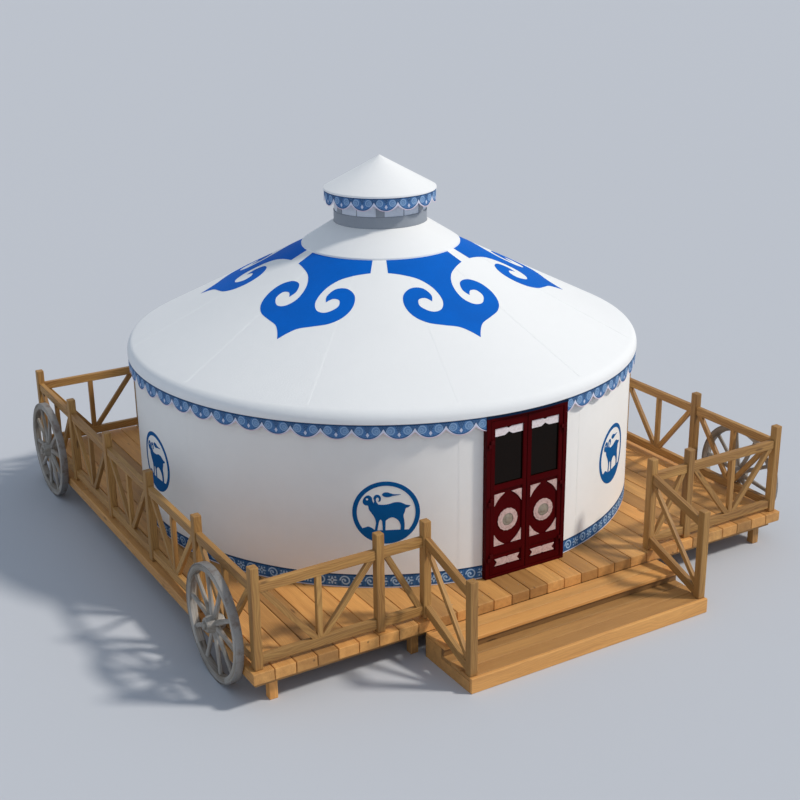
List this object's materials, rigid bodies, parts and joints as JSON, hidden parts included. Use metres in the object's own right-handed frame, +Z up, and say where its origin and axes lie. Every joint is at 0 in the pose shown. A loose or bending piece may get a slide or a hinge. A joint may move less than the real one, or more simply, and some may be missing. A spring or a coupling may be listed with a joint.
{
  "type": "yurt on a railed deck",
  "caption": "Round white yurt with a glazed crown and a carved double door, on a square timber deck with railings, a step stair and leaning cart wheels.",
  "frame": {"origin": "on the ground under the middle of the yurt, at the foot of the deck's middle leg", "axes": "+Z up, -Y towards the door and the stair, +X to the right of someone who faces the door"},
  "size_m": [7.204, 7.68, 4.4667],
  "materials": {
    "deck_wood": "oiled, sawn boards",
    "rail_wood": "oiled, planed",
    "wheel_wood": "weathered grey",
    "wheel_iron": "dull",
    "wall_cover": "coated canvas",
    "roof_cover": "smooth coated canvas",
    "valance_cloth": "printed canvas",
    "crown_frame": "satin",
    "crown_glass": "clear, polished",
    "door_paint": "satin paint",
    "door_glass": "dark, polished",
    "hinge_metal": "dull"
  },
  "bodies": {
    "root": {"deck_floor": "deck_wood", "deck_bearers": "deck_wood", "deck_legs": "deck_wood", "stair_treads": "deck_wood", "stair_risers": "deck_wood", "stair_strings": "deck_wood", "posts_left": "rail_wood", "posts_right": "rail_wood", "posts_back": "rail_wood", "posts_front": "rail_wood", "posts_stair": "rail_wood", "railing_left": "rail_wood", "railing_right": "rail_wood", "railing_back": "rail_wood", "railing_front": "rail_wood", "railing_stair": "rail_wood", "wheels_left": "wheel_wood", "wheels_right": "wheel_wood", "wheel_axles": "wheel_iron", "wall_over_door": "wall_cover", "eave_valance": "valance_cloth", "crown_collar": "roof_cover", "crown_ring": "crown_frame", "crown_posts": "crown_frame", "crown_panes": "crown_glass", "crown_head": "crown_frame", "crown_cap": "roof_cover", "crown_valance": "valance_cloth", "door_jambs": "door_paint", "door_head": "door_paint", "door_sill": "door_paint", "jamb_hinges": "hinge_metal", "wall_section_1": "wall_cover", "wall_section_2": "wall_cover", "wall_section_3": "wall_cover", "wall_section_4": "wall_cover", "wall_section_5": "wall_cover", "wall_section_6": "wall_cover", "roof_gore_1": "roof_cover", "roof_gore_2": "roof_cover", "roof_gore_3": "roof_cover", "roof_gore_4": "roof_cover", "roof_gore_5": "roof_cover", "roof_gore_6": "roof_cover"},
    "door_left": {"door_left_frame": "door_paint", "door_left_glass": "door_glass", "door_left_panels": "door_paint"},
    "door_right": {"door_right_frame": "door_paint", "door_right_glass": "door_glass", "door_right_panels": "door_paint"}
  },
  "joints": [
    {"name": "door_left_swing", "type": "hinge", "parent": "root", "child": "door_left", "pos_m": [-0.4675, -3.028, 0.437], "axis": [0, 0, -1], "range_deg": [0, 105]},
    {"name": "door_right_swing", "type": "hinge", "parent": "root", "child": "door_right", "pos_m": [0.4675, -3.028, 0.437], "axis": [0, 0, 1], "range_deg": [0, 105]}
  ]
}
